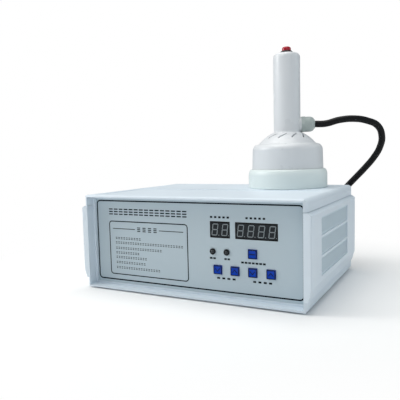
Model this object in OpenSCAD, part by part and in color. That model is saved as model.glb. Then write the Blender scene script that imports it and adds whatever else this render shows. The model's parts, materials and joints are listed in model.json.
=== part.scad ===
// Induction cap sealer: a bench case with a hand-held sealing head that stands on its lid.
// Millimetres. +Z is up, the front faces -Y, the origin is on the table under the middle of the case.

/* [Case] */
// Width of the shells, without the raised side panels
case_w = 292; // [290:1:320]
// Depth from the front edge to the rear edge
case_d = 230; // [226:1:260]
// Height of the closed case, without its feet
case_h = 120; // [118:1:130]
// Thickness of the moulded walls
wall = 3; // [2.6:0.1:3.4]
// Thickness of the side walls of the shells
side_wall = 4.5; // [4:0.1:5]
// Radius of the long edges of the shells, seen from the front
edge_r = 6; // [2:0.1:6.5]
// Radius of the front and rear edges of the shells
end_r = 3; // [1:0.1:4]
// Radius of the corners of the shells, seen from above
corner_r = 6; // [2:0.1:6.5]
// Height of the lower shell's side walls
base_skirt = 12.5; // [11:0.5:16]
// Height of the lid's side walls
lid_skirt = 14; // [10:0.5:16]
// Depth of the shallow field in the lid
lid_field_depth = 0.5; // [0.4:0.1:1.2]
// Width of the shallow field in the lid
lid_field_w = 262; // [120:1:266]
// Length of the shallow field in the lid
lid_field_l = 92; // [60:1:100]
// Distance of the shallow field from the front edge
lid_field_set = 22; // [15:1:30]
// Height of a rubber foot
foot_h = 1; // [1:0.1:3]
// Diameter of a rubber foot
foot_d = 16; // [12:0.5:20]

/* [Side panels] */
// How far a raised side panel stands out of the shell
side_proud = 4.5; // [4:0.5:6]
// Distance of a side panel's raised part from the front and rear edges
side_set = 0.5; // [0.5:0.5:3]
// Radius of the upright edges of a side panel
side_r = 2; // [1:0.5:5]
// Open seam between a side panel and the lid
seam_gap = 0.5; // [0.3:0.1:0.8]
// Run of the bevel along the top of a side panel
bevel_top = 3; // [2:0.5:8]
// Run of the bevel along the bottom of a side panel
bevel_bottom = 14; // [6:0.5:16]
// Length of the vent windows
vent_l = 136; // [100:1:150]
// Height of one vent window
vent_h = 20.4; // [16:0.2:21]
// Height of the bar between two vent windows
vent_bar = 2; // [1.5:0.1:3]
// Height of the lowest window above the case bottom
vent_low = 32; // [31.5:0.1:32.2]
// Depth of the vent windows
vent_depth = 1.2; // [0.8:0.1:1.3]
// Shift of the windows towards the front
vent_shift = 6; // [0:1:12]
// Pitch of the grille slots behind the windows
grille_pitch = 4; // [3.5:0.1:6]
// Width of a grille slot
grille_slot = 1.4; // [1:0.1:2.5]
// Thickness of the grille
grille_t = 1.6; // [1:0.1:1.8]

/* [Panels] */
// Distance of the front film from the front edge of the case
panel_set = 15.5; // [12:0.5:17]
// Distance of the rear panel from the rear edge of the case
rear_set = 8; // [7:0.5:12]
// Thickness of the front panel
panel_t = 2; // [1.5:0.1:3]
// Thickness of the printed film on the front panel
overlay_t = 0.4; // [0.2:0.1:0.6]
// Height of the ribs that hold the panels
rib_h = 2.5; // [2:0.1:3]
// Thickness of the ribs that hold the panels
rib_t = 2; // [1.5:0.1:2.5]

/* [Front controls] */
// Height of a display module
display_h = 19; // [17:0.5:20]
// Width of the four-digit module
display_four_w = 50.3; // [48:0.1:52]
// Width of the two-digit module
display_two_w = 25; // [23:0.1:26]
// Distance of the four-digit module from the side of the case
display_edge = 36.5; // [34:0.1:39]
// Gap between the two modules
display_gap = 6.7; // [4:0.1:8]
// Top of the modules above the case bottom
display_top = 91; // [88:0.1:93]
// Size of a square key cap
key_size = 10.4; // [9:0.1:11.2]
// Gap round a key cap
key_gap = 0.35; // [0.3:0.05:0.8]
// Distance between neighbouring keys
key_pitch = 21.6; // [20.5:0.1:22.5]
// Distance of the last key's middle from the side of the case
key_edge = 44.6; // [42:0.1:47]
// Height of the key row above the case bottom
key_z = 34.8; // [33:0.1:37]
// Height of the reset key above the case bottom
reset_z = 55.8; // [54:0.1:58]
// Travel of a key
key_travel = 0.5; // [0.2:0.05:0.6]
// Diameter of an indicator lamp
lamp_d = 5; // [3:0.1:5.4]
// Diameter of the flange of a lamp holder
lamp_holder_d = 7.2; // [6.8:0.1:8]

/* [Head] */
// Place of the head on the lid, across the case
head_x = 70; // [50:1:80]
// Place of the head on the lid, towards the rear
head_y = 58; // [40:1:60]
// Turn of the cable outlet towards the rear
head_turn = 20; // [0:1:40]
// Radius of the lower cup
cup_r = 53.5; // [52:0.1:55]
// Height of the straight side of the lower cup
cup_straight = 16.5; // [15:0.5:20]
// Height of the lower cup
cup_h = 25.5; // [25:0.5:30]
// Height of the shelf in the cup that carries the bell
cup_shelf = 12; // [11:0.5:14]
// Radius of the bell at its foot
bell_r = 48.7; // [47.2:0.1:49.2]
// How much narrower the bell is at its shoulder
bell_draft = 1.2; // [0:0.1:2]
// Height at which the bell starts to round over
bell_h = 51; // [46:0.5:54]
// Wall of the head housing
head_wall = 3; // [2.5:0.1:3.5]
// Radius of the handle
handle_r = 18; // [17:0.1:20]
// Height of the top of the handle
handle_h = 181.5; // [160:0.5:200]
// Height where the cone of the bell meets the handle
neck_z = 75.5; // [73:0.5:75.5]
// Number of vent slots round the cone
slot_count = 11; // [8:1:12]
// Width of a vent slot
slot_w = 2; // [1:0.1:2.6]
// Height of the cable outlet
outlet_z = 85.5; // [85.5:0.5:95]
// Diameter of the trigger button
trigger_d = 11.8; // [10:0.1:12.4]
// Diameter of the trigger bezel's flange
trigger_bezel_d = 16; // [15.6:0.1:20]
// Travel of the trigger
trigger_travel = 2.5; // [1:0.1:3]

/* [Cable] */
// Diameter of the head cable
cable_d = 9; // [8:0.1:9]
// Across-flats size of a gland
gland_af = 20.5; // [20:0.1:21]

/* [Rear] */
// Size of the square fan
fan_size = 80; // [70:1:82]
// Depth of the fan
fan_t = 25; // [20:1:25]
// Number of fan blades
fan_blades = 7; // [5:1:9]
// Tilt of the rocker to either side
rocker_tilt = 8; // [6:0.5:9]

/* [Hidden] */
$fn = 64;
panel_clear = 0.2;
groove_clear = 0.1;
fit_clear = 0.05;
screw_clear = 0.15;
eps = 0.5;

z_base = foot_h;
z_lid = foot_h + case_h;
z_floor = z_base + wall;
z_ceil = z_lid - wall;
seam_low = z_base + base_skirt;
seam_top = z_lid - lid_skirt;
in_x = case_w / 2 - side_wall;
y_front = -case_d / 2;
plate_t = panel_t + overlay_t;

// Front panel levels along Y, from the printed face to the board behind it
y_face = y_front + panel_set;
y_back = y_face + plate_t;
spacer_l = 6;
y_board = y_back + spacer_l;
board_t = 1.6;

// Rear panel faces
y_rear_out = case_d / 2 - rear_set;
y_rear_in = y_rear_out - plate_t;

// Case screws and their pillars
pillar_inset_x = 12;
pillar_inset_y = 30;
pillar_low_h = 59;
pillar_x = in_x - pillar_inset_x;
pillar_y = case_d / 2 - pillar_inset_y;
pillar_d = 10;
pillar_split = z_base + pillar_low_h;
screw_d = 4;
screw_head_d = 7.5;
screw_head_h = 3;
screw_reach = 18;
foot_inset_x = 30;
foot_inset_y = 27;
foot_x = in_x - foot_inset_x;
foot_y = case_d / 2 - foot_inset_y;

// Vent windows and the hollow of a side panel
x_side = case_w / 2 + side_proud;
vent_y = -vent_shift;
grille_margin = 2;

// Controls on the front, as [x, height above the case bottom]
display_x = case_w / 2 - display_edge - display_four_w;
display_two_x = display_x - display_gap - display_two_w;
display_sink = 0.2;
display_cut_clear = 0.15;
digit_pitch = 12.5;
lamp_inset = 3.2;
lamp_pitch = 17.6;
lamp_x = [display_two_x + lamp_inset, display_two_x + lamp_inset + lamp_pitch];
lamp_z = reset_z;
lamp_neck_d = lamp_d + 1.2;
lamp_proud = 1.2;
key_x = case_w / 2 - key_edge - 3 * key_pitch;
reset_x = key_x + 2 * key_pitch;
key_places = [
    [reset_x, reset_z],
    [key_x, key_z],
    [key_x + key_pitch, key_z],
    [key_x + 2 * key_pitch, key_z],
    [key_x + 3 * key_pitch, key_z],
];
key_proud = 1.2;
key_flange = 1.2;
key_flange_t = 1;
key_rest_gap = 0.2;
switch_size = 12;
switch_h = 4;
plunger_d = 3.5;
plunger_in = 1.6;
board_margin = 9;
board_x0 = display_two_x - board_margin;
board_w = display_x + display_four_w + board_margin - board_x0;
board_z0 = 25;
board_h = 73;
spacer_inset = 4;
spacer_d = 6;
spacer_bore = 3.2;

// Power board and what stands on it
power_x0 = -112;
power_w = 146;
power_y0 = -62;
power_l = 124;
power_lift = 8;
power_inset = 5;
post_d = 7;
z_power = z_floor + power_lift + board_t;
small_screw_d = 3;
small_head_d = 5.6;
small_head_h = 2;
small_screw_l = 6;

// Head levels above the lid
cup_floor = 3;
cup_rim = 0.8;
cup_edge = 1;
cup_pocket_r = bell_r - head_wall;
bell_fit = 0.15;
cone_top_r = handle_r + 0.5;
bell_round = 9;
cone_bulge = 1.4;
former_t = 2;
former_r = cup_pocket_r - 0.4;
litz_r = 2.1;
litz_pitch = 4;
litz_turns = 8;
litz_first = 12;
ferrite_t = 5;
ferrite_w = 9;
ferrite_r0 = 11;
ferrite_r1 = 41;
boss_r = 7;
clamp_t = 2;
coil_screw_d = 5;
coil_z = cup_floor + former_t + litz_r + fit_clear;
ferrite_z = coil_z + litz_r + fit_clear;
clamp_z = ferrite_z + ferrite_t + fit_clear;
slot_skew = 18.5;
slot_turn = -60;
slot_r_out = 30.2;
slot_r_in = 23;
slot_over = 6;
trigger_bore_d = trigger_d + 2 * fit_clear;
trigger_barrel_d = trigger_bore_d + 1.6;
trigger_flange_t = 3;
trigger_barrel_l = 20;
trigger_proud = 5.9;
trigger_body_l = 16;
handle_top_t = 4;
handle_corner = 6;
handle_inner_corner = 1;
neck_step = 1.2;
shoulder_step = 0.7;
boss_depth = 2;
trigger_flat = 0.35;
trigger_dome = 2.6;
trigger_chamfer = 0.8;
terminal_x = 3;
terminal_size = [0.8, 2.8, 6];
coil_screw_head_h = 3;

// Glands
gland_flange_t = 4.5;
gland_nut_l = 13.3;
gland_dome = 6.5;
gland_shank_d = 15;
gland_seat_proud = 1.2;
gland_seat_r = handle_r + gland_seat_proud;
outlet_end = gland_seat_r + gland_flange_t + gland_nut_l;
rear_gland_x = 92;
rear_gland_up = 29;
rear_gland_z = z_base + rear_gland_up;
locknut_t = 4;

// Fan, inlet and rocker on the rear panel
fan_x = -72;
fan_z = z_base + case_h / 2;
fan_rim = 2;
fan_hole_inset = 4.25;
fan_hole_r = fan_size / 2 - fan_rim;
fan_pitch = fan_size - 2 * fan_hole_inset;
fan_screw_d = 4;
rotor_hub_r = 17;
rotor_tip_gap = 1.2;
rotor_tip_r = fan_hole_r - rotor_tip_gap;
rotor_l = 17;
stator_t = 4;
rotor_shaft_d = 3;
blade_t = 1.6;
blade_pitch_deg = 35;
blade_chord = 20;
rotor_gap = 0.4;
stator_arm = 4;
arm_inset = 0.4;
fan_screw_head_d = 7.6;
fan_screw_head_h = 2.4;
fan_screw_end = 2;
guard_wire = 1.6;
guard_rings = 4;
guard_eye_t = guard_wire + 2 * fit_clear;
inlet_x = 22;
inlet_up = 40;
inlet_z = z_base + inlet_up;
inlet_w = 24.4;
inlet_h = 16.4;
inlet_wall = 1.6;
inlet_depth = 17;
inlet_flange = 2.2;
inlet_flange_t = 2.4;
pin_w = 2;
pin_h = 4;
pin_tail = 8;
pin_sink = 2;
pin_places = [[0, 3.4], [-7, -2.4], [7, -2.4]];
rocker_x = inlet_x;
rocker_up = 80;
rocker_z = z_base + rocker_up;
rocker_w = 11;
rocker_l = 17;
rocker_wall = 1.4;
rocker_flange = 2;
rocker_flange_t = 2;
rocker_depth = 12;
rocker_gap = 0.3;
rocker_pin_d = 2.4;
rocker_peak = 3.4;
rocker_dip = 1.9;
rocker_side = 1;
rocker_keel = 4;
pin_skin = 0.4;
rocker_pivot_y = y_rear_out + 0.5;

// Cable route behind the case: points chosen by hand along the lie of the cable
head_route = [
    [118, 75.5, 206.5], [136, 82, 211], [154, 90, 212], [169, 99, 209], [181, 110, 202], [185, 120, 188],
    [181, 130, 173], [172, 138, 159], [159, 143, 144], [145, 147, 129.5], [132, 149, 116], [119, 150, 102],
    [108, 148, 86], [99, 145, 69], [91, 141, 52], [82, 136, 35], [71, 131, 21], [58, 128, 11], [42, 127, 6],
];
tail_route = [[96, 181, 15], [96, 170, 16], [95, 158, 19], [93, 146, 27], [92, 138, 30]];
coil_place = [42, 181];
coil_mid_r = 50;
coil_lift = 1.2;
tie_t = 0.8;
tie_w = 12;
tie_clear = 0.3;
cable_sides = 10;

head_outlet = [
    head_x + outlet_end * cos(head_turn),
    head_y + outlet_end * sin(head_turn),
    z_lid + outlet_z,
];
rear_outlet = [rear_gland_x, y_rear_out + gland_flange_t + gland_nut_l, rear_gland_z];

// Shapes that several pieces share

module rounded_rect(w, h, r) {
    translate([r, 0]) square([w - 2 * r, h]);
    translate([0, r]) square([w, h - 2 * r]);
    for (x = [r, w - r], y = [r, h - r]) translate([x, y]) circle(r);
}

// A flat outline in X and Z, thickened from y towards the rear
module upright(y, t) {
    translate([0, y + t, 0]) rotate([90, 0, 0]) linear_extrude(t) children();
}

// A round bar along Y, from y towards the rear
module bar_y(x, y, z, d, l) {
    translate([x, y, z]) rotate([-90, 0, 0]) cylinder(d = d, h = l);
}

module four_corners(x, y) {
    for (sx = [-1, 1], sy = [-1, 1]) translate([sx * x, sy * y, 0]) children();
}

// Case

module case_block() {
    intersection() {
        translate([-case_w / 2, case_d / 2, z_base]) rotate([90, 0, 0])
            linear_extrude(case_d) rounded_rect(case_w, case_h, edge_r);
        translate([-case_w / 2, -case_d / 2, z_base]) rotate([90, 0, 90])
            linear_extrude(case_w) rounded_rect(case_d, case_h, end_r);
        translate([-case_w / 2, -case_d / 2, z_base])
            linear_extrude(case_h) rounded_rect(case_w, case_d, corner_r);
    }
}

module level_band(z_from, z_to) {
    translate([-case_w, -case_d, z_from]) cube([2 * case_w, 2 * case_d, z_to - z_from]);
}

module rib_frame(y, t) {
    difference() {
        translate([-in_x, y, z_floor]) cube([2 * in_x, t, z_ceil - z_floor]);
        translate([-in_x + rib_h, y - eps, z_floor + rib_h])
            cube([2 * (in_x - rib_h), t + 2 * eps, z_ceil - z_floor - 2 * rib_h]);
    }
}

module panel_ribs() {
    for (y = [y_face - groove_clear - rib_t, y_back + groove_clear,
            y_rear_in - groove_clear - rib_t, y_rear_out + groove_clear]) rib_frame(y, rib_t);
}

module shell_band(z_from, z_to) {
    intersection() {
        union() {
            difference() {
                case_block();
                translate([-in_x, -case_d, z_floor]) cube([2 * in_x, 2 * case_d, z_ceil - z_floor]);
            }
            panel_ribs();
        }
        level_band(z_from, z_to);
    }
}

module bottom_shell() color("#d5dde4") {
    difference() {
        union() {
            shell_band(z_base, seam_low);
            four_corners(pillar_x, pillar_y) translate([0, 0, z_base + eps])
                cylinder(d = pillar_d, h = pillar_split - z_base - eps);
            power_corners() translate([0, 0, z_base + eps]) cylinder(d = post_d, h = wall + power_lift - eps);
        }
        four_corners(pillar_x, pillar_y) {
            translate([0, 0, z_base - eps]) cylinder(d = screw_d + 2 * screw_clear, h = case_h);
            translate([0, 0, z_base - eps])
                cylinder(d = screw_head_d + 2 * screw_clear, h = screw_head_h + eps);
        }
        power_corners() translate([0, 0, z_power - board_t - small_screw_l])
            cylinder(d = small_screw_d + 2 * fit_clear, h = small_screw_l + eps);
    }
}

module top_cover() color("#dce4ec") {
    difference() {
        union() {
            shell_band(seam_top, z_lid);
            four_corners(pillar_x, pillar_y) translate([0, 0, pillar_split])
                cylinder(d = pillar_d, h = z_ceil - pillar_split + eps);
        }
        four_corners(pillar_x, pillar_y) translate([0, 0, pillar_split - eps])
            cylinder(d = screw_d + 2 * fit_clear, h = screw_reach + 2 * eps);
        translate([-lid_field_w / 2, y_front + lid_field_set, z_lid - lid_field_depth])
            cube([lid_field_w, lid_field_l, lid_field_depth + eps]);
    }
}

// A block with sloping edges: x from the shell to the proud face, drawn in by t on every side
module raised_field(x_from, x_to, t) {
    z0 = seam_low + t;
    z1 = seam_top - seam_gap - t;
    y0 = y_front + side_set + t;
    intersection() {
        translate([0, case_d, 0]) rotate([90, 0, 0]) linear_extrude(2 * case_d)
            polygon([[x_from, z0], [case_w / 2, z0], [x_to, z0 + bevel_bottom], [x_to, z1 - bevel_top],
                [case_w / 2, z1], [x_from, z1]]);
        translate([-x_to, y0, 0]) linear_extrude(z_lid) rounded_rect(2 * x_to, -2 * y0, side_r);
    }
}

module vent_windows(x, t) {
    for (i = [0:2])
        translate([x, vent_y - vent_l / 2, z_base + vent_low + i * (vent_h + vent_bar)])
            cube([t, vent_l, vent_h]);
}

module grille_block(grow, back) {
    edge = grille_margin + grow;
    stack_h = 3 * vent_h + 2 * vent_bar;
    translate([x_side - vent_depth - grille_t - back, vent_y - vent_l / 2 - edge, z_base + vent_low - edge])
        cube([grille_t + back, vent_l + 2 * edge, stack_h + 2 * edge]);
}

module side_panel() {
    difference() {
        union() {
            raised_field(in_x, x_side, 0);
            intersection() {
                panel_ribs();
                translate([in_x - rib_h, -case_d, seam_low])
                    cube([rib_h + eps, 2 * case_d, seam_top - seam_low]);
            }
        }
        intersection() {
            raised_field(in_x - eps, x_side - wall, wall);
            translate([0, y_back + 2 * rib_t, 0]) cube([case_w, y_rear_in - y_back - 4 * rib_t, z_lid]);
        }
        grille_block(groove_clear, wall);
        vent_windows(x_side - wall - eps, wall + 2 * eps);
    }
}

module side_panel_right() color("#c3d0db") side_panel();

module side_panel_left() color("#c3d0db") mirror([1, 0, 0]) side_panel();

module vent_grille() {
    x_back = x_side - vent_depth - grille_t;
    slots = floor(vent_l / grille_pitch);
    difference() {
        grille_block(0, 0);
        for (row = [0:2], i = [0:slots - 1])
            translate([x_back - eps, vent_y + (i - (slots - 1) / 2) * grille_pitch - grille_slot / 2,
                    z_base + vent_low + row * (vent_h + vent_bar) + vent_bar])
                cube([grille_t + 2 * eps, grille_slot, vent_h - 2 * vent_bar]);
    }
}

module vent_grille_right() color("#9cacb4") vent_grille();

module vent_grille_left() color("#9cacb4") mirror([1, 0, 0]) vent_grille();

module rubber_feet() color("#2b2d2f") four_corners(foot_x, foot_y) {
    difference() {
        rotate_extrude() polygon([[0, 0], [foot_d / 2 - 1, 0], [foot_d / 2, foot_h], [0, foot_h]]);
        translate([0, 0, -eps]) cylinder(d = foot_d / 3, h = eps + foot_h / 3);
    }
}

module case_screws() color("#b9bcc0") four_corners(pillar_x, pillar_y) {
    z_head = z_base + screw_head_h;
    difference() {
        union() {
            translate([0, 0, z_base + screw_clear])
                cylinder(d = screw_head_d, h = screw_head_h - screw_clear);
            translate([0, 0, z_head]) cylinder(d = screw_d, h = pillar_split + screw_reach - z_head);
        }
        for (turn = [0, 90]) rotate([0, 0, turn])
            translate([-screw_d / 2, -0.5, z_base - eps]) cube([screw_d, 1, screw_head_h / 2 + eps]);
    }
}

// Front panel and its controls

module panel_outline() {
    translate([-in_x + panel_clear, z_floor + panel_clear])
        square([2 * (in_x - panel_clear), z_ceil - z_floor - 2 * panel_clear]);
}

module key_holes() {
    hole = key_size + 2 * key_gap;
    for (p = key_places) translate([p[0], z_base + p[1]]) square(hole, center = true);
}

module front_cutouts() {
    cut = display_cut_clear;
    translate([display_x - cut, z_base + display_top - display_h - cut])
        square([display_four_w + 2 * cut, display_h + 2 * cut]);
    translate([display_two_x - cut, z_base + display_top - display_h - cut])
        square([display_two_w + 2 * cut, display_h + 2 * cut]);
    for (x = lamp_x) translate([x, z_base + lamp_z]) circle(d = lamp_neck_d + 2 * fit_clear);
    key_holes();
}

module front_panel() color("#8f9ea5") upright(y_face + overlay_t, panel_t) difference() {
    panel_outline();
    front_cutouts();
}

module panel_overlay() color("#a0b0b8") upright(y_face, overlay_t) difference() {
    panel_outline();
    front_cutouts();
}

module board_corners() {
    for (x = [spacer_inset, board_w - spacer_inset], z = [spacer_inset, board_h - spacer_inset])
        translate([board_x0 + x, 0, z_base + board_z0 + z]) children();
}

module display_board() color("#2f6b3f") upright(y_board, board_t) difference() {
    translate([board_x0, z_base + board_z0]) square([board_w, board_h]);
    for (x = [spacer_inset, board_w - spacer_inset], z = [spacer_inset, board_h - spacer_inset])
        translate([board_x0 + x, z_base + board_z0 + z]) circle(d = spacer_bore);
}

module board_spacers() color("#c8b26a") board_corners() difference() {
    bar_y(0, y_back, 0, spacer_d, spacer_l);
    bar_y(0, y_back - eps, 0, small_screw_d + 2 * fit_clear, spacer_l + 2 * eps);
}

module small_screw(reach) {
    cylinder(d = small_head_d, h = small_head_h);
    translate([0, 0, -reach]) cylinder(d = small_screw_d, h = reach + small_head_h / 2);
}

module board_screws() color("#b9bcc0") {
    board_corners() translate([0, y_board + board_t, 0]) rotate([-90, 0, 0])
        small_screw(board_t + spacer_l - 1);
    power_corners() translate([0, 0, z_power]) small_screw(board_t + small_screw_l - 1);
}

module display_module(x, w) {
    upright(y_face + display_sink, y_board - y_face - display_sink)
        translate([x, z_base + display_top - display_h]) square([w, display_h]);
}

module display_two_digit() color("#262c30") display_module(display_two_x, display_two_w);

module display_four_digit() color("#262c30") display_module(display_x, display_four_w);

// One seven-segment digit with its point, leaning to the right
digit_h = 12.8;
digit_w = 6.4;
segment_w = 1;
segment_gap = 0.2;
digit_lean = tan(8);
segment_t = 0.15;
point_r = 0.55;
point_set = 1.6;

function lean(p) = [p[0] + p[1] * digit_lean, p[1]];

function bar_points(l, w) = [
    [-l / 2, 0], [-l / 2 + w / 2, w / 2], [l / 2 - w / 2, w / 2],
    [l / 2, 0], [l / 2 - w / 2, -w / 2], [-l / 2 + w / 2, -w / 2],
];

module segment(x, z, l, up) {
    polygon([for (p = bar_points(l, segment_w)) lean(up ? [x + p[1], z + p[0]] : [x + p[0], z + p[1]])]);
}

module digit() {
    half = digit_h / 2;
    for (z = [-half, 0, half]) segment(0, z, digit_w - segment_gap, false);
    for (x = [-digit_w / 2, digit_w / 2], z = [-half / 2, half / 2]) segment(x, z, half - segment_gap, true);
    translate([digit_w / 2 + point_set, -half]) circle(point_r);
}

module digit_row(x, w, count) {
    for (i = [0:count - 1])
        translate([x + w / 2 + (i - (count - 1) / 2) * digit_pitch, z_base + display_top - display_h / 2])
            digit();
}

module digit_segments() color("#8d979b") upright(y_face + display_sink - segment_t, segment_t) {
    digit_row(display_two_x, display_two_w, 2);
    digit_row(display_x, display_four_w, 4);
}

module lamp_holders() color("#1d1f21") for (x = lamp_x) {
    z = z_base + lamp_z;
    difference() {
        union() {
            bar_y(x, y_face - lamp_proud, z, lamp_holder_d, lamp_proud);
            bar_y(x, y_face - eps, z, lamp_neck_d, plate_t + 1 + eps);
        }
        bar_y(x, y_face - lamp_proud - eps, z, lamp_d + 2 * fit_clear, plate_t + lamp_proud + 2);
    }
}

module indicator_lamps() color("#9aa2a4") for (x = lamp_x) {
    z = z_base + lamp_z;
    tip = lamp_d / 2;
    bar_y(x, y_face - lamp_proud + tip / 2, z, lamp_d, y_board - y_face + lamp_proud - tip / 2);
    translate([x, y_face - lamp_proud + tip / 2, z]) intersection() {
        sphere(tip);
        translate([-tip, -tip, -tip]) cube([2 * tip, tip + eps / 5, 2 * tip]);
    }
}

module key_switches() color("#34373a") for (p = key_places) {
    z = z_base + p[1];
    difference() {
        translate([p[0] - switch_size / 2, y_board - switch_h, z - switch_size / 2])
            cube([switch_size, switch_h, switch_size]);
        bar_y(p[0], y_board - switch_h - eps, z, plunger_d + 2 * fit_clear,
            plunger_in + key_travel + 0.3 + eps);
    }
}

module key(place) color("#0f3f9f") {
    x = place[0];
    z = z_base + place[1];
    y_flange = y_back + key_rest_gap;
    flange = key_size + 2 * key_flange;
    upright(y_face - key_proud, y_flange - y_face + key_proud)
        translate([x - key_size / 2, z - key_size / 2]) square(key_size);
    upright(y_flange, key_flange_t) translate([x - flange / 2, z - flange / 2]) square(flange);
    bar_y(x, y_flange + key_flange_t - eps, z, plunger_d,
        y_board - switch_h + plunger_in - y_flange - key_flange_t + eps);
}

module key_reset() key(key_places[0]);

module key_time_down() key(key_places[1]);

module key_time_up() key(key_places[2]);

module key_power_down() key(key_places[3]);

module key_power_up() key(key_places[4]);

// Power electronics on the floor of the case

module power_corners() {
    for (x = [power_inset, power_w - power_inset], y = [power_inset, power_l - power_inset])
        translate([power_x0 + x, power_y0 + y, 0]) children();
}

module power_board() color("#35573a") difference() {
    translate([power_x0, power_y0, z_power - board_t]) cube([power_w, power_l, board_t]);
    power_corners() translate([0, 0, z_power - board_t - eps])
        cylinder(d = small_screw_d + 2 * screw_clear, h = board_t + 2 * eps);
}

sink_x = -100;
sink_y = 18;
sink_l = 84;
sink_w = 36;
sink_h = 46;
sink_web = 5;
sink_fins = 8;
fin_t = 1.8;

module heat_sink() color("#b4b8bb") translate([sink_x, sink_y, z_power]) {
    cube([sink_l, sink_web, sink_h]);
    for (i = [0:sink_fins - 1])
        translate([i * (sink_l - fin_t) / (sink_fins - 1), sink_web - eps, 0])
            cube([fin_t, sink_w - sink_web, sink_h]);
}

transistor_w = 16;
transistor_h = 21;
transistor_t = 5;
transistor_share = [0.3, 0.7];
leg_size = [1.2, 0.6, 8];
leg_pitch = 5.4;

module power_transistors() color("#222426") for (share = transistor_share) {
    x = sink_x + share * sink_l;
    y = sink_y - transistor_t;
    translate([x - transistor_w / 2, y, z_power + leg_size[2]])
        cube([transistor_w, transistor_t, transistor_h]);
    for (i = [-1:1])
        translate([x + leg_pitch * i - leg_size[0] / 2, y + (transistor_t - leg_size[1]) / 2, z_power])
            cube(leg_size);
}

rectifier_size = [28, 28, 10];
rectifier_at = [-28, -26];
rectifier_hole_d = 5;

module bridge_rectifier() color("#3a3d40")
    translate([rectifier_at[0], rectifier_at[1], z_power]) difference() {
        cube(rectifier_size);
        translate([rectifier_size[0] / 2, rectifier_size[1] / 2, -eps])
            cylinder(d = rectifier_hole_d, h = rectifier_size[2] + 2 * eps);
    }

capacitor_d = 30;
capacitor_h = 46;
capacitor_rim = 2;
capacitor_bead_z = 5;
capacitor_x = [-88, -52];
capacitor_y = -32;

module smoothing_capacitors() color("#25406b") for (x = capacitor_x) translate([x, capacitor_y, z_power])
    rotate_extrude() difference() {
        square([capacitor_d / 2, capacitor_h]);
        translate([capacitor_d / 2, capacitor_bead_z]) circle(capacitor_rim / 2);
        translate([0, capacitor_h - capacitor_rim / 3])
            square([capacitor_d / 2 - capacitor_rim, capacitor_rim]);
    }

film_size = [40, 20, 30];
film_at = [-12, -52];

module film_capacitor() color("#a23b2a") translate([film_at[0], film_at[1], z_power]) cube(film_size);

choke_at = [9, 39];
choke_r = 13;
choke_wire_r = 7.5;

module choke() color("#a9692c") translate([choke_at[0], choke_at[1], z_power + choke_wire_r + fit_clear])
    rotate_extrude() translate([choke_r, 0]) circle(choke_wire_r);

core_size = [30, 24, 28];
core_at = [2, -12];
core_limb = 6;
bobbin_d = 22;

module drive_transformer() color("#3c3a38") translate([core_at[0], core_at[1], z_power]) {
    window = [core_size[0] - 2 * core_limb, core_size[1] / 3, core_size[2] - 2 * core_limb];
    difference() {
        cube(core_size);
        for (y = [-eps, core_size[1] - window[1]]) translate([core_limb, y, core_limb])
            cube([window[0], window[1] + eps, window[2]]);
    }
    translate(core_size / 2) rotate([0, 90, 0]) cylinder(d = bobbin_d, h = window[0] - 1, center = true);
}

// Rear panel and what is fixed to it

module rocker_cut() {
    margin = rocker_wall + screw_clear;
    translate([rocker_x - rocker_w / 2 - margin, rocker_z - rocker_l / 2 - margin])
        square([rocker_w + 2 * margin, rocker_l + 2 * margin]);
}

module inlet_outline(grow) {
    w = inlet_w + 2 * grow;
    h = inlet_h + 2 * grow;
    chamfer = 4;
    translate([inlet_x, inlet_z])
        polygon([[-w / 2, -h / 2], [w / 2, -h / 2], [w / 2, h / 2 - chamfer], [w / 2 - chamfer, h / 2],
            [-w / 2 + chamfer, h / 2], [-w / 2, h / 2 - chamfer]]);
}

module fan_corners() {
    for (sx = [-1, 1], sz = [-1, 1])
        translate([fan_x + sx * fan_pitch / 2, 0, fan_z + sz * fan_pitch / 2]) children();
}

module rear_panel() color("#9aa6ac") difference() {
    upright(y_rear_in, plate_t) difference() {
        panel_outline();
        translate([fan_x, fan_z]) circle(fan_hole_r);
        inlet_outline(inlet_wall + screw_clear);
        rocker_cut();
        translate([rear_gland_x, rear_gland_z]) circle(d = gland_shank_d + 2 * screw_clear);
    }
    fan_corners() bar_y(0, y_rear_in - eps, 0, fan_screw_d + 2 * screw_clear, plate_t + 2 * eps);
}

module fan_frame() color("#26282a") difference() {
    y0 = y_rear_in - fan_t;
    union() {
        difference() {
            translate([fan_x - fan_size / 2, y0, fan_z - fan_size / 2]) cube([fan_size, fan_t, fan_size]);
            bar_y(fan_x, y0 - eps, fan_z, 2 * fan_hole_r, fan_t + 2 * eps);
        }
        bar_y(fan_x, y0, fan_z, 2 * rotor_hub_r, stator_t);
        for (turn = [30:120:359]) translate([fan_x, y0 + arm_inset, fan_z]) rotate([0, turn, 0])
            translate([rotor_hub_r - 1, 0, -stator_arm / 2])
                cube([fan_hole_r - rotor_hub_r + 2, stator_t - 2 * arm_inset, stator_arm]);
    }
    bar_y(fan_x, y0 - eps, fan_z, rotor_shaft_d + 2 * fit_clear, stator_t + 2 * eps);
    fan_corners() bar_y(0, y0 - eps, 0, fan_screw_d + 2 * screw_clear, fan_t + 2 * eps);
}

module fan_rotor() color("#2f3234") {
    y0 = y_rear_in - fan_t + stator_t + rotor_gap;
    blade_l = sqrt(pow(rotor_tip_r, 2) - pow(blade_chord / 2, 2)) - rotor_hub_r + 1;
    bar_y(fan_x, y0, fan_z, 2 * rotor_hub_r, rotor_l);
    bar_y(fan_x, y0 - stator_t, fan_z, rotor_shaft_d, stator_t + eps);
    for (i = [0:fan_blades - 1]) translate([fan_x, y0 + rotor_l / 2, fan_z])
        rotate([0, i * 360 / fan_blades, 0]) rotate([blade_pitch_deg, 0, 0])
            translate([rotor_hub_r - 1, -blade_t / 2, -blade_chord / 2]) cube([blade_l, blade_t, blade_chord]);
}

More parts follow.
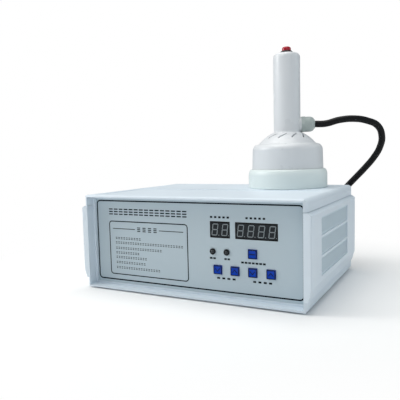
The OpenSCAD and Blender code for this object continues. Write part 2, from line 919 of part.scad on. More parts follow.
module fan_guard() color("#c9ced2") {
    y_wire = y_rear_out + guard_wire / 2 + fit_clear;
    ring_step = fan_hole_r / guard_rings;
    eye_r = fan_pitch / sqrt(2);
    for (i = [1:guard_rings]) translate([fan_x, y_wire + guard_wire / 2, fan_z]) rotate([90, 0, 0])
        rotate_extrude() translate([i * ring_step - guard_wire / 2, 0]) circle(d = guard_wire);
    for (turn = [45:90:359]) translate([fan_x, y_wire, fan_z]) rotate([0, turn, 0])
        translate([ring_step - guard_wire, 0, 0]) rotate([0, 90, 0])
            cylinder(d = guard_wire, h = eye_r - fan_screw_d / 2 - 2 * screw_clear - ring_step + guard_wire);
    fan_corners() difference() {
        bar_y(0, y_rear_out, 0, 2.2 * fan_screw_d, guard_eye_t);
        bar_y(0, y_rear_out - eps, 0, fan_screw_d + 2 * screw_clear, guard_eye_t + 2 * eps);
    }
}

module fan_screws() color("#b9bcc0") fan_corners() {
    y_end = y_rear_in - fan_t + fan_screw_end;
    bar_y(0, y_rear_out + guard_eye_t, 0, fan_screw_head_d, fan_screw_head_h);
    bar_y(0, y_end, 0, fan_screw_d, y_rear_out + guard_eye_t + eps - y_end);
}

module mains_inlet() color("#1c1e20") {
    y_out = y_rear_out + inlet_flange_t;
    difference() {
        union() {
            upright(y_rear_out, inlet_flange_t) inlet_outline(inlet_wall + inlet_flange);
            upright(y_out - inlet_depth - inlet_wall, inlet_depth + inlet_wall) inlet_outline(inlet_wall);
        }
        upright(y_out - inlet_depth, inlet_depth + eps) inlet_outline(0);
        for (p = pin_places) translate([inlet_x + p[0] - pin_w / 2, 0, inlet_z + p[1] - pin_h / 2])
            cube([pin_w, case_d, pin_h]);
    }
}

module inlet_pins() color("#c6c9cc") for (p = pin_places) {
    y_tip = y_rear_out + inlet_flange_t - pin_sink;
    pin_l = inlet_depth + pin_tail;
    translate([inlet_x + p[0] - pin_w / 2, y_tip - pin_l, inlet_z + p[1] - pin_h / 2])
        cube([pin_w, pin_l, pin_h]);
}

module rocker_frame() color("#1c1e20") {
    y_out = y_rear_out + rocker_flange_t;
    w = rocker_w + 2 * rocker_wall;
    l = rocker_l + 2 * rocker_wall;
    difference() {
        union() {
            translate([rocker_x - w / 2 - rocker_flange, y_rear_out, rocker_z - l / 2 - rocker_flange])
                cube([w + 2 * rocker_flange, rocker_flange_t, l + 2 * rocker_flange]);
            translate([rocker_x - w / 2, y_out - rocker_depth - rocker_wall, rocker_z - l / 2])
                cube([w, rocker_depth + rocker_wall, l]);
        }
        translate([rocker_x - rocker_w / 2, y_out - rocker_depth, rocker_z - rocker_l / 2])
            cube([rocker_w, rocker_depth + eps, rocker_l]);
        translate([rocker_x - w / 2 + pin_skin, rocker_pivot_y, rocker_z]) rotate([0, 90, 0])
            cylinder(d = rocker_pin_d + 2 * fit_clear, h = w - 2 * pin_skin);
    }
}

module at_rocker() {
    translate([rocker_x, rocker_pivot_y, rocker_z]) rotate([rocker_tilt, 0, 0]) children();
}

module rocker_paddle() color("#26292c") at_rocker() {
    half = rocker_l / 2 - rocker_gap - rocker_peak * sin(rocker_tilt) - rocker_gap / 2;
    w = rocker_w - 2 * rocker_gap;
    pin_l = rocker_w + 2 * (rocker_wall - pin_skin - rocker_gap / 2);
    translate([-w / 2, 0, 0]) rotate([90, 0, 90]) linear_extrude(w)
        polygon([[rocker_peak, -half], [rocker_dip, 0], [rocker_peak, half], [-rocker_side, half],
            [-rocker_keel, half / 3], [-rocker_keel, -half / 3], [-rocker_side, -half]]);
    rotate([0, 90, 0]) cylinder(d = rocker_pin_d, h = pin_l, center = true);
}

// Sealing head, standing on the lid

module on_lid() {
    translate([head_x, head_y, z_lid]) children();
}

module base_cup() color("#c9d3d0") on_lid() rotate_extrude() difference() {
    rise = cup_h - cup_straight;
    rim_r = bell_r + bell_fit + cup_rim;
    polygon(concat([[0, 0], [cup_r - cup_edge, 0], [cup_r, cup_edge]],
        [for (a = [0:15:90]) [rim_r + (cup_r - rim_r) * cos(a), cup_straight + rise * sin(a)]],
        [[0, cup_h]]));
    translate([-eps, cup_shelf]) square([bell_r + bell_fit + eps, cup_h]);
    translate([-eps, cup_floor]) square([cup_pocket_r + eps, cup_h]);
}

// Outline of the head housing: the bell, its rounded shoulder, the cone and the handle, drawn in by t
module housing_outline(t) {
    bell = bell_r - bell_draft - t;
    shoulder = bell_r - bell_draft - bell_round;
    foot_z = cup_shelf - (t > 0 ? eps : 0);
    shoulder_z = bell_h + bell_round * 0.93;
    handle = handle_r - t;
    top = t > 0 ? handle_h - handle_top_t : handle_h;
    corner = t > 0 ? handle_inner_corner : handle_corner;
    drop = t * 1.1;
    cone_low = [shoulder, shoulder_z + shoulder_step - drop];
    cone_high = [cone_top_r - t, neck_z - drop];
    cone_run = cone_high - cone_low;
    cone_out = [cone_run[1], -cone_run[0]] / norm(cone_run);
    polygon(concat(
        [[0, foot_z], [bell_r - t, foot_z]],
        [for (a = [0:10:60]) [bell - bell_round * (1 - cos(a)), bell_h - drop + bell_round * sin(a)]],
        [for (s = [0:0.25:1]) cone_low + s * cone_run + 4 * cone_bulge * s * (1 - s) * cone_out],
        [[handle, neck_z + neck_step - drop]],
        [for (a = [0:15:90]) [handle - corner * (1 - cos(a)), top - corner * (1 - sin(a))]],
        [[0, top]]
    ));
}

module head_slots() {
    p_out = [slot_r_out, 0];
    p_in = slot_r_in * [cos(slot_skew), sin(slot_skew)];
    run = p_in - p_out;
    for (i = [0:slot_count - 1]) rotate([0, 0, slot_turn + i * 360 / slot_count])
        translate([p_out[0], p_out[1], bell_h]) rotate([0, 0, atan2(run[1], run[0])])
            linear_extrude(neck_z - bell_h + slot_over) {
                translate([0, -slot_w / 2]) square([norm(run), slot_w]);
                circle(d = slot_w, $fn = 24);
                translate([norm(run), 0]) circle(d = slot_w, $fn = 24);
            }
}

module towards_outlet(r) {
    translate([0, 0, outlet_z]) rotate([0, 0, head_turn]) rotate([0, 90, 0]) translate([0, 0, r]) children();
}

module head_housing() color("#dddddf") on_lid() difference() {
    union() {
        difference() {
            rotate_extrude() housing_outline(0);
            rotate_extrude() housing_outline(head_wall);
            head_slots();
        }
        difference() {
            boss_r0 = handle_r - head_wall - boss_depth;
            towards_outlet(boss_r0) cylinder(d = gland_af - 1, h = gland_seat_r - boss_r0);
            cylinder(r = handle_r - head_wall, h = handle_h);
        }
    }
    towards_outlet(0) cylinder(d = gland_shank_d + 2 * screw_clear, h = 2 * handle_r);
    translate([0, 0, handle_h - 2 * handle_top_t])
        cylinder(d = trigger_barrel_d + 2 * fit_clear, h = 3 * handle_top_t);
}

module coil_former() color("#e7e2d2") on_lid() difference() {
    union() {
        translate([0, 0, cup_floor]) cylinder(r = former_r, h = former_t);
        translate([0, 0, cup_floor]) cylinder(r = boss_r, h = clamp_z - cup_floor);
    }
    translate([0, 0, cup_floor + 1]) cylinder(d = coil_screw_d + 2 * fit_clear, h = clamp_z);
}

module work_coil() color("#b8743a") on_lid() rotate_extrude() for (i = [0:litz_turns - 1]) {
    translate([litz_first + i * litz_pitch, coil_z]) circle(litz_r);
}

module ferrite_bars() color("#3b3d40") on_lid() for (turn = [0:60:359]) rotate([0, 0, turn])
    translate([ferrite_r0, -ferrite_w / 2, ferrite_z]) cube([ferrite_r1 - ferrite_r0, ferrite_w, ferrite_t]);

module coil_clamp() color("#e7e2d2") on_lid() difference() {
    translate([0, 0, clamp_z]) cylinder(r = ferrite_r1, h = clamp_t);
    translate([0, 0, clamp_z - eps]) cylinder(d = coil_screw_d + 2 * screw_clear, h = clamp_t + 2 * eps);
}

module coil_screw() color("#c8b26a") on_lid() {
    translate([0, 0, clamp_z + clamp_t]) cylinder(d = 2 * coil_screw_d, h = coil_screw_head_h);
    translate([0, 0, cup_floor + 2]) cylinder(d = coil_screw_d, h = clamp_z + clamp_t - cup_floor - 2 + eps);
}

module trigger_bezel() color("#1b1d1f") on_lid() difference() {
    union() {
        translate([0, 0, handle_h]) rotate_extrude()
            polygon([[0, 0], [trigger_bezel_d / 2, 0],
                [trigger_bezel_d / 2, trigger_flange_t - trigger_chamfer],
                [trigger_bezel_d / 2 - trigger_chamfer, trigger_flange_t], [0, trigger_flange_t]]);
        translate([0, 0, handle_h - trigger_barrel_l])
            cylinder(d = trigger_barrel_d, h = trigger_barrel_l + eps);
    }
    translate([0, 0, handle_h - trigger_barrel_l - eps])
        cylinder(d = trigger_bore_d, h = 2 * trigger_barrel_l);
}

module trigger_button() color("#c01828") on_lid() {
    r = trigger_d / 2;
    z_top = handle_h + trigger_flange_t + trigger_proud;
    z_low = handle_h - trigger_barrel_l + trigger_travel + 1;
    rotate_extrude() polygon(concat([[0, z_low], [r, z_low]],
        [for (a = [0:10:90]) [r * (cos(a) + trigger_flat * (1 - cos(a))), z_top - trigger_dome * (1 - sin(a))]],
        [[0, z_top]]));
}

module trigger_switch() color("#2a2d30") on_lid() {
    z_top = handle_h - trigger_barrel_l;
    translate([0, 0, z_top - trigger_body_l]) cylinder(d = trigger_barrel_d, h = trigger_body_l);
    for (side = [-1, 1])
        translate([side * terminal_x - terminal_size[0] / 2, -terminal_size[1] / 2,
                z_top - trigger_body_l - terminal_size[2]])
            cube([terminal_size[0], terminal_size[1], terminal_size[2] + eps]);
}

// Cable glands: the seat is at z = 0 and the cable leaves upwards

module gland_body(shank_l) {
    gland_hex_r = gland_af / 2 / cos(30);
    difference() {
        union() {
            rotate([0, 0, 30]) cylinder(r = gland_hex_r, h = gland_flange_t, $fn = 6);
            translate([0, 0, -shank_l]) cylinder(d = gland_shank_d, h = shank_l + eps);
        }
        translate([0, 0, -shank_l - eps])
            cylinder(d = cable_d + 2 * screw_clear, h = shank_l + gland_flange_t + 2 * eps);
    }
}

module gland_nut() {
    r = gland_af / 2;
    end_r = cable_d / 2 + 1.8;
    round = r - end_r;
    difference() {
        rotate_extrude() polygon(concat([[0, 0], [r, 0]],
            [for (a = [0:15:90]) [end_r + round * cos(a), gland_nut_l - 1 - gland_dome * (1 - sin(a))]],
            [[end_r, gland_nut_l], [0, gland_nut_l]]));
        translate([0, 0, -eps]) cylinder(d = cable_d + 2 * screw_clear, h = gland_nut_l - 2 + eps);
    }
}

module at_rear_gland() {
    translate([rear_gland_x, y_rear_out, rear_gland_z]) rotate([-90, 0, 0]) children();
}

module head_gland_body() color("#b0baba") on_lid() towards_outlet(gland_seat_r) gland_body(5);

module head_gland_nut() color("#b0baba") on_lid() towards_outlet(gland_seat_r + gland_flange_t) gland_nut();

module rear_gland_body() color("#b0baba") at_rear_gland() gland_body(plate_t + locknut_t + 2);

module rear_gland_nut() color("#b0baba") at_rear_gland() translate([0, 0, gland_flange_t]) gland_nut();

module rear_gland_locknut() color("#a3adad") at_rear_gland()
    translate([0, 0, -plate_t - locknut_t]) difference() {
        cylinder(r = gland_af / 2 / cos(30), h = locknut_t, $fn = 6);
        translate([0, 0, -eps]) cylinder(d = gland_shank_d + 2 * fit_clear, h = locknut_t + 2 * eps);
    }

// Cable: a tube swept along a route, with its rings carried from point to point

function unit(v) = v / norm(v);

function heading(p, i) = unit(p[min(i + 1, len(p) - 1)] - p[max(i - 1, 0)]);

function square_to(n, t) = unit(n - (n * t) * t);

function ring_normals(p, n, i = 0) = i == len(p) ? [] :
    let (m = square_to(n, heading(p, i))) concat([m], ring_normals(p, m, i + 1));

module cable_tube(route, start_normal) {
    normals = ring_normals(route, start_normal);
    last = len(route) - 1;
    sides = cable_sides;
    step = 360 / sides;
    points = [for (i = [0:last]) let (n = normals[i], b = cross(heading(route, i), n))
        for (k = [0:sides - 1]) route[i] + cable_d / 2 * (cos(k * step) * n + sin(k * step) * b)];
    sleeve = [for (i = [0:last - 1], k = [0:sides - 1]) let (j = (k + 1) % sides)
        [i * sides + k, (i + 1) * sides + k, (i + 1) * sides + j, i * sides + j]];
    start_cap = [for (k = [0:sides - 1]) k];
    end_cap = [for (k = [sides - 1:-1:0]) last * sides + k];
    polyhedron(points, concat(sleeve, [start_cap], [end_cap]));
}

module head_cable() color("#17181a") cable_tube(concat([head_outlet], head_route), [0, 0, 1]);

module cable_tail() color("#17181a") cable_tube(concat(tail_route, [rear_outlet]), [0, 0, 1]);

// The coil holds two turns side by side on the table and one turn lying on them
coil_half = cable_d;
coil_h = cable_d * (1 + sin(60));

module at_coil() {
    translate([coil_place[0], coil_place[1], coil_lift]) children();
}

module cable_coil() color("#17181a") at_coil() rotate_extrude() translate([coil_mid_r, 0])
    polygon([[-coil_half, 0], [coil_half, 0], [coil_half, 0.6 * cable_d], [coil_half / 2, coil_h],
        [-coil_half / 2, coil_h], [-coil_half, 0.6 * cable_d]]);

module cable_tie() color("#22262a") at_coil() translate([-tie_w / 2, 0, 0]) difference() {
    r_in = sqrt(pow(coil_mid_r - coil_half, 2) - pow(tie_w / 2, 2)) - tie_clear;
    r_out = coil_mid_r + coil_half + tie_clear;
    translate([0, r_in - tie_t, -tie_clear - tie_t])
        cube([tie_w, r_out - r_in + 2 * tie_t, coil_h + 2 * (tie_clear + tie_t)]);
    translate([-eps, r_in, -tie_clear]) cube([tie_w + 2 * eps, r_out - r_in, coil_h + 2 * tie_clear]);
}

bottom_shell();
top_cover();
side_panel_left();
side_panel_right();
vent_grille_left();
vent_grille_right();
rubber_feet();
case_screws();
front_panel();
panel_overlay();
rear_panel();
display_board();
board_spacers();
board_screws();
display_two_digit();
display_four_digit();
digit_segments();
lamp_holders();
indicator_lamps();
key_switches();
key_reset();
key_time_down();
key_time_up();
key_power_down();
key_power_up();
power_board();
heat_sink();
power_transistors();
bridge_rectifier();
smoothing_capacitors();
film_capacitor();
choke();
drive_transformer();
fan_frame();
fan_rotor();
fan_guard();
fan_screws();
mains_inlet();
inlet_pins();
rocker_frame();
rocker_paddle();
head_housing();
base_cup();
coil_former();
work_coil();
ferrite_bars();
coil_clamp();
coil_screw();
trigger_bezel();
trigger_button();
trigger_switch();
head_gland_body();
head_gland_nut();
rear_gland_body();
rear_gland_nut();
rear_gland_locknut();
head_cable();
cable_coil();
cable_tail();
cable_tie();
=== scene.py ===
import json
import math

import bpy
from mathutils import Matrix, Vector


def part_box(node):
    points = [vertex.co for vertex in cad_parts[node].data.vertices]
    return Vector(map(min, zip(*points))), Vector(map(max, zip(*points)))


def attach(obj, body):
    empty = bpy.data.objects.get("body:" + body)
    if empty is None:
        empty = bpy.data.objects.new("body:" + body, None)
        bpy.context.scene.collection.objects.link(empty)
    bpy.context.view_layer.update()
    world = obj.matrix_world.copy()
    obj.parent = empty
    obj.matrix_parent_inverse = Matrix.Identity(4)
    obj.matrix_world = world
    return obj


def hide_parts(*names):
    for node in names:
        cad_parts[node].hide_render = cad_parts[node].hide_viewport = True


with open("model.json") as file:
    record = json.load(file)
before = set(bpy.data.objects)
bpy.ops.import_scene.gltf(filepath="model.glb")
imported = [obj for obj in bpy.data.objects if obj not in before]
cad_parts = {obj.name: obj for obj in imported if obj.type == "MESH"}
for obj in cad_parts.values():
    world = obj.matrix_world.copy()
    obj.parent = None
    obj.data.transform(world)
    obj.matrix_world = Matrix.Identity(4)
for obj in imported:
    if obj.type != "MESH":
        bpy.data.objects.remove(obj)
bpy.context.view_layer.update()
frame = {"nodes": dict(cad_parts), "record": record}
nodes = frame["nodes"]
scene = bpy.context.scene
MM = 0.001


# Lowest and highest corner of a node of the frame, in millimetres
def corners(name):
    return [[round(value / MM, 3) for value in corner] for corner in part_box(name)]


# Level of the front face of a node, in millimetres
def front_of(name):
    low, high = corners(name)
    return low[1]


# Middle of a node seen from the front, in millimetres
def middle_of(name):
    low, high = corners(name)
    return round((low[0] + high[0]) / 2, 3), round((low[2] + high[2]) / 2, 3)


# Camera at the photograph's place, in metres and radians

CAMERA_PLACE = (0.284189, -0.605321, 0.167981)
CAMERA_YAW = 0.488563
CAMERA_PITCH = 0.090151
CAMERA_ROLL = -0.024985
CAMERA_LENS = 44.546
CAMERA_SENSOR = 36.0
CAMERA_NEAR = 0.02
CAMERA_FAR = 30.0


def aim_camera():
    reach = math.cos(CAMERA_PITCH)
    back = Vector((math.sin(CAMERA_YAW) * reach, -math.cos(CAMERA_YAW) * reach, math.sin(CAMERA_PITCH)))
    level = (-back).cross(Vector((0, 0, 1))).normalized()
    upright = level.cross(-back)
    right = math.cos(CAMERA_ROLL) * level + math.sin(CAMERA_ROLL) * upright
    up = -math.sin(CAMERA_ROLL) * level + math.cos(CAMERA_ROLL) * upright
    data = bpy.data.cameras.new("photo_camera")
    data.sensor_width = CAMERA_SENSOR
    data.lens = CAMERA_LENS
    data.clip_start = CAMERA_NEAR
    data.clip_end = CAMERA_FAR
    camera = bpy.data.objects.new("photo_camera", data)
    scene.collection.objects.link(camera)
    turn = Matrix((right, up, back)).transposed().to_4x4()
    camera.matrix_world = Matrix.Translation(Vector(CAMERA_PLACE)) @ turn
    scene.camera = camera


aim_camera()


# Finishes

# Colour sockets of the Mix node: the two that go in and the one that comes out
MIX_A = 6
MIX_B = 7
MIX_OUT = 2

# Most of a noise pattern's values lie between these two
NOISE_LOW = 0.3
NOISE_HIGH = 0.7

# Dark plastics with a dry surface: little of the room shows in them
DULL = {"Specular IOR Level": 0.18}


def linear(hex_colour):
    parts = [int(hex_colour[i : i + 2], 16) / 255 for i in (1, 3, 5)]
    return tuple(c / 12.92 if c <= 0.04045 else ((c + 0.055) / 1.055) ** 2.4 for c in parts) + (1.0,)


def shaded(hex_colour, share):
    return tuple(c * share for c in linear(hex_colour)[:3]) + (1.0,)


# Scale of a pattern whose features have the given size
def per_metre(size_mm):
    return 1 / (size_mm * MM)


def add(tree, kind, inputs=None, **settings):
    node = tree.nodes.new(kind)
    for key, value in settings.items():
        setattr(node, key, value)
    for key, value in (inputs or {}).items():
        if isinstance(value, bpy.types.NodeSocket):
            tree.links.new(value, node.inputs[key])
        else:
            node.inputs[key].default_value = value
    return node


def blank(name):
    finish = bpy.data.materials.new(name)
    finish.use_nodes = True
    tree = finish.node_tree
    tree.nodes.clear()
    place = add(tree, "ShaderNodeTexCoord").outputs["Object"]
    return finish, tree, place


def close(tree, shader):
    add(tree, "ShaderNodeOutputMaterial", {"Surface": shader.outputs[0]})


# A moulded or dipped surface: slow drift of tint and gloss, and the tool's grain, drawn coarse enough to show
def moulded(name, tint, rough, grain_mm, depth_mm, drift_mm=45.0, drift=0.05, gloss_drift=0.08, sockets=None):
    finish, tree, place = blank(name)
    cloud = add(tree, "ShaderNodeTexNoise", {"Vector": place, "Scale": per_metre(drift_mm), "Detail": 3.0})
    grain = add(tree, "ShaderNodeTexNoise", {"Vector": place, "Scale": per_metre(grain_mm), "Detail": 2.0})
    colour = add(tree, "ShaderNodeMix", {
        "Factor": cloud.outputs["Fac"], MIX_A: shaded(tint, 1 - drift), MIX_B: shaded(tint, 1 + drift),
    }, data_type="RGBA")
    gloss = add(tree, "ShaderNodeMapRange", {
        "Value": cloud.outputs["Fac"], "From Min": NOISE_LOW, "From Max": NOISE_HIGH,
        "To Min": rough - gloss_drift / 2, "To Max": rough + gloss_drift / 2,
    })
    bump = add(tree, "ShaderNodeBump", {
        "Height": grain.outputs["Fac"], "Strength": 1.0, "Distance": depth_mm * MM,
    })
    shader = add(tree, "ShaderNodeBsdfPrincipled", {
        "Base Color": colour.outputs[MIX_OUT], "Roughness": gloss.outputs[0],
        "Normal": bump.outputs["Normal"], **(sockets or {}),
    })
    close(tree, shader)
    return finish


# Tint of a metal in its dark and bright patches, and how much smoother and duller its streaks are
METAL_DARK = 0.86
METAL_BRIGHT = 1.08
STREAK_SMOOTH = 0.08
STREAK_DULL = 0.1


# A metal worked in one direction: streaks drawn out along one or two axes, over cloudy patches of tint
def worked_metal(name, tint, rough, streak_mm, stretch, depth_mm, patch_mm=9.0):
    finish, tree, place = blank(name)
    scale = tuple(per_metre(streak_mm * share) for share in stretch)
    run = add(tree, "ShaderNodeMapping", {"Vector": place, "Scale": scale})
    streak = add(tree, "ShaderNodeTexNoise", {"Vector": run.outputs[0], "Scale": 1.0, "Detail": 4.0})
    cloud = add(tree, "ShaderNodeTexNoise", {"Vector": place, "Scale": per_metre(patch_mm), "Detail": 3.0})
    colour = add(tree, "ShaderNodeMix", {
        "Factor": cloud.outputs["Fac"], MIX_A: shaded(tint, METAL_DARK), MIX_B: shaded(tint, METAL_BRIGHT),
    }, data_type="RGBA")
    gloss = add(tree, "ShaderNodeMapRange", {
        "Value": streak.outputs["Fac"], "From Min": NOISE_LOW, "From Max": NOISE_HIGH,
        "To Min": rough - STREAK_SMOOTH, "To Max": rough + STREAK_DULL,
    })
    bump = add(tree, "ShaderNodeBump", {
        "Height": streak.outputs["Fac"], "Strength": 1.0, "Distance": depth_mm * MM,
    })
    shader = add(tree, "ShaderNodeBsdfPrincipled", {
        "Base Color": colour.outputs[MIX_OUT], "Roughness": gloss.outputs[0], "Metallic": 1.0,
        "Normal": bump.outputs["Normal"],
    })
    close(tree, shader)
    return finish


# Distance from the edge of a cell, as a share of its size, over which a track falls to the ground
TRACK_TOP = 0.04
TRACK_FOOT = 0.07
EPOXY_IOR = 1.52


# Solder mask over copper: tracks as the edges of angular cells, lighter and a little higher than the ground
def solder_mask(name, track_tint, ground_tint, rough, cell_mm, depth_mm):
    finish, tree, place = blank(name)
    cells = add(tree, "ShaderNodeTexVoronoi", {"Vector": place, "Scale": per_metre(cell_mm)},
                feature="DISTANCE_TO_EDGE", distance="MANHATTAN")
    track = add(tree, "ShaderNodeMapRange", {
        "Value": cells.outputs["Distance"], "From Min": TRACK_TOP, "From Max": TRACK_FOOT,
    })
    colour = add(tree, "ShaderNodeMix", {
        "Factor": track.outputs[0], MIX_A: linear(track_tint), MIX_B: linear(ground_tint),
    }, data_type="RGBA")
    bump = add(tree, "ShaderNodeBump", {
        "Height": track.outputs[0], "Strength": 0.6, "Distance": depth_mm * MM,
    }, invert=True)
    shader = add(tree, "ShaderNodeBsdfPrincipled", {
        "Base Color": colour.outputs[MIX_OUT], "Roughness": rough,
        "Normal": bump.outputs["Normal"], "IOR": EPOXY_IOR,
    })
    close(tree, shader)
    return finish


# Share of the tint painted as shade between the turns of a winding and as highlight on top of them, and the
# weight of its clear enamel
TURN_SHADE = 0.55
TURN_HIGHLIGHT = 1.1
ENAMEL = 0.6


# Wire wound side by side: bands of painted shade and painted highlight, about a third of spread_mm apart,
# drawn coarse enough to show
def wound_wire(name, tint, rough, spread_mm, depth_mm):
    finish, tree, place = blank(name)
    turns = add(tree, "ShaderNodeTexWave", {
        "Vector": place, "Scale": per_metre(spread_mm), "Distortion": 1.5, "Detail": 1.0,
    }, wave_type="BANDS", bands_direction="DIAGONAL")
    # Painted shade between the turns and painted highlight on top of them, mixed from one tint
    colour = add(tree, "ShaderNodeMix", {
        "Factor": turns.outputs["Fac"], MIX_A: shaded(tint, TURN_SHADE), MIX_B: shaded(tint, TURN_HIGHLIGHT),
    }, data_type="RGBA")
    bump = add(tree, "ShaderNodeBump", {
        "Height": turns.outputs["Fac"], "Strength": 1.0, "Distance": depth_mm * MM,
    })
    shader = add(tree, "ShaderNodeBsdfPrincipled", {
        "Base Color": colour.outputs[MIX_OUT], "Roughness": rough, "Metallic": 1.0,
        "Normal": bump.outputs["Normal"], "Coat Weight": ENAMEL,
    })
    close(tree, shader)
    return finish


FINISHES = {
    # Injection moulded ABS with a fine spark-eroded grain: satin, cool white
    "case_white": moulded("spark_grained_abs", "#DAE5EE", 0.46, 0.7, 0.02, drift=0.02),
    # The same resin in a greyer tint, a little duller behind the windows
    "vent_grey": moulded("grey_abs", "#CCDCE5", 0.55, 0.7, 0.03, drift=0.04),
    # Moulded nitrile rubber: near black, dull, dusty in patches
    "foot_rubber": moulded("nitrile_rubber", "#2A2B2D", 0.82, 0.5, 0.05, drift_mm=6.0, drift=0.2),
    # Powder coat on folded steel: soft orange peel and an even sheen
    "panel_metal": moulded("powder_coat_on_steel", "#AAB6BC", 0.42, 1.4, 0.05, drift=0.03),
    # Velvet polycarbonate film: very fine tooth, wide soft highlight
    "panel_film": moulded("velvet_polycarbonate", "#B9C8D0", 0.5, 0.35, 0.012, drift_mm=80.0, drift=0.03),
    # Filled epoxy round the digits: black, half gloss
    "display_black": moulded("filled_epoxy_black", "#23282C", 0.32, 0.6, 0.01, drift_mm=10.0, drift=0.1,
                             sockets=DULL),
    # Diffusing epoxy of the unlit digits: milky grey
    "segment_grey": moulded("diffusing_epoxy", "#848D91", 0.4, 0.4, 0.01, drift_mm=2.5, drift=0.1),
    # Glass filled PBT: black with a faint mould bloom
    "black_plastic": moulded("black_pbt", "#15171A", 0.4, 0.5, 0.02, drift_mm=12.0, drift=0.16, sockets=DULL),
    # Epoxy lens over a dark cup: nearly black, glossy
    "lamp_clear": moulded("lens_epoxy", "#262B2E", 0.14, 1.5, 0.008, drift_mm=2.0, drift=0.25,
                          gloss_drift=0.04),
    # Blue moulded key caps: satin from the tool, a little worn towards gloss
    "key_blue": moulded("blue_abs_keycap", "#003CAE", 0.38, 0.4, 0.015, drift_mm=5.0, drift=0.1,
                        sockets=DULL),
    # Shrunk PVC film on the capacitors: smooth, half gloss, faintly wrinkled
    "capacitor_blue": moulded("shrunk_pvc_sleeve", "#22457A", 0.28, 2.5, 0.04, drift_mm=15.0, drift=0.08),
    # Powder dipped epoxy: rounded, waxy
    "capacitor_red": moulded("dipped_epoxy_red", "#A5372A", 0.3, 1.2, 0.05, drift_mm=12.0, drift=0.1),
    # Fired ferrite: dark grey, dry, with a sandy tooth
    "core_ferrite": moulded("sintered_ferrite", "#37393C", 0.7, 0.5, 0.05, drift_mm=7.0, drift=0.14),
    # Moulded ABS of the head: white, polished tool, soft long highlights
    "head_white": moulded("polished_abs", "#E1E4E7", 0.3, 2.2, 0.012, drift=0.015),
    # Polypropylene cup: white with a faint green cast, waxy
    "cup_white": moulded("white_polypropylene", "#E6F0EF", 0.36, 1.8, 0.015, drift=0.02),
    # Glass filled phenolic of the former: cream with fibre flecks
    "former_cream": moulded("glass_phenolic", "#E0D6BC", 0.55, 0.9, 0.04, drift_mm=4.0, drift=0.08),
    # Acetal push button: deep red, glossy from use
    "trigger_red": moulded("red_acetal", "#B00E28", 0.24, 0.8, 0.01, drift_mm=4.0, drift=0.07),
    # Moulded polyamide gland: grey green, faint flow lines
    "gland_grey": moulded("polyamide_grey", "#AEB9B7", 0.42, 0.9, 0.03, drift_mm=9.0, drift=0.05),
    # Extruded PVC sheath: black, satin, faintly uneven along its length
    "cable_black": moulded("pvc_sheath", "#101113", 0.5, 1.6, 0.05, drift_mm=20.0, drift=0.15, sockets=DULL),
    # Bright zinc on steel: cool, cloudy, fine scratches
    "plated_steel": worked_metal("zinc_plated_steel", "#C3C7CB", 0.3, 0.3, (1, 4, 1), 0.006),
    # Turned brass: warm rings from the tool
    "spacer_brass": worked_metal("turned_brass", "#CDB26A", 0.26, 0.3, (6, 1, 6), 0.006),
    # Extruded aluminium: long die lines up the fins
    "sink_aluminium": worked_metal("extruded_aluminium", "#C2C5C8", 0.36, 0.5, (1, 1, 30), 0.01),
    # Enamelled copper, wound turn on turn: warm bands under a clear coat
    "winding_copper": wound_wire("enamelled_copper", "#C77B3E", 0.3, 24.0, 0.4),
    # Solder mask on glass epoxy: green, half gloss, with lighter tracks
    "board_green": solder_mask("solder_mask_on_glass_epoxy", "#3D8A57", "#1F5A38", 0.35, 5.0, 0.04),
}

# Screen ink on the film: near black, thin and dry
INK = moulded("screen_ink", "#0E1A22", 0.5, 0.5, 0.005, drift_mm=3.0, drift=0.12, sockets=DULL)
# Pad ink on the keys: dark navy, a little smoother
NAVY = moulded("navy_pad_ink", "#0A1634", 0.42, 0.5, 0.005, drift_mm=3.0, drift=0.1, sockets=DULL)
# Pad ink on the rocker: white, dry
MARK_WHITE = moulded("white_pad_ink", "#DDE0E2", 0.5, 0.5, 0.005, drift_mm=3.0, drift=0.05)
# Epoxy at the edge of the displays: blacker and duller than the face
RIM_BLACK = moulded("matt_black_epoxy", "#08090B", 0.5, 0.5, 0.01, drift_mm=4.0, drift=0.12, sockets=DULL)

for part in frame["record"]["subparts"]:
    mesh = nodes[part["node"]].data
    mesh.materials.clear()
    mesh.materials.append(FINISHES[part["material_slot"]])


# Cable of the head: out of the gland, over and down behind the case, three turns, then in at the rear gland

CABLE_D = 9.0
HEAD_OUTLET = (104.768, 70.655, 206.5)
HEAD_ROUTE = [
    (118, 75.5, 206.5), (136, 82, 211), (154, 90, 212), (169, 99, 209), (181, 110, 202), (185, 120, 188),
    (181, 130, 173), (172, 138, 159), (159, 143, 144), (145, 147, 129.5), (132, 149, 116), (119, 150, 102),
    (108, 148, 86), (99, 145, 69), (91, 141, 52), (82, 136, 35), (71, 131, 21), (58, 128, 11),
]
TAIL_ROUTE = [(96, 170, 16), (95, 158, 19), (93, 146, 27), (92, 138, 30)]
REAR_OUTLET = (92, 124.8, 30)
CABLE_STEPS = 6

# Coil: its middle, the radius of the two turns on the table, and the height of their centre line
COIL_X = 42
COIL_Y = 181
COIL_OUTER = 54.5
COIL_INNER = 45.5
COIL_LEVEL = 5.8
# Square of the least distance between the centre lines of two turns
COIL_NEST = 83.0
# Angles in degrees, counted along the cable: where it starts, how far it goes, and where it changes its lane
COIL_START = 270
COIL_SWEEP = 990
COIL_STEP = 18
TO_INNER = (280, 342)
CLIMB = (580, 648)
TO_GROOVE = (722, 770)
TO_OUTER = (890, 972)


# Smooth change from low to high as the value passes from the start to the end of a stretch
def ease(value, stretch, low, high):
    start, end = stretch
    t = min(1.0, max(0.0, (value - start) / (end - start)))
    return low + (high - low) * t * t * (3 - 2 * t)


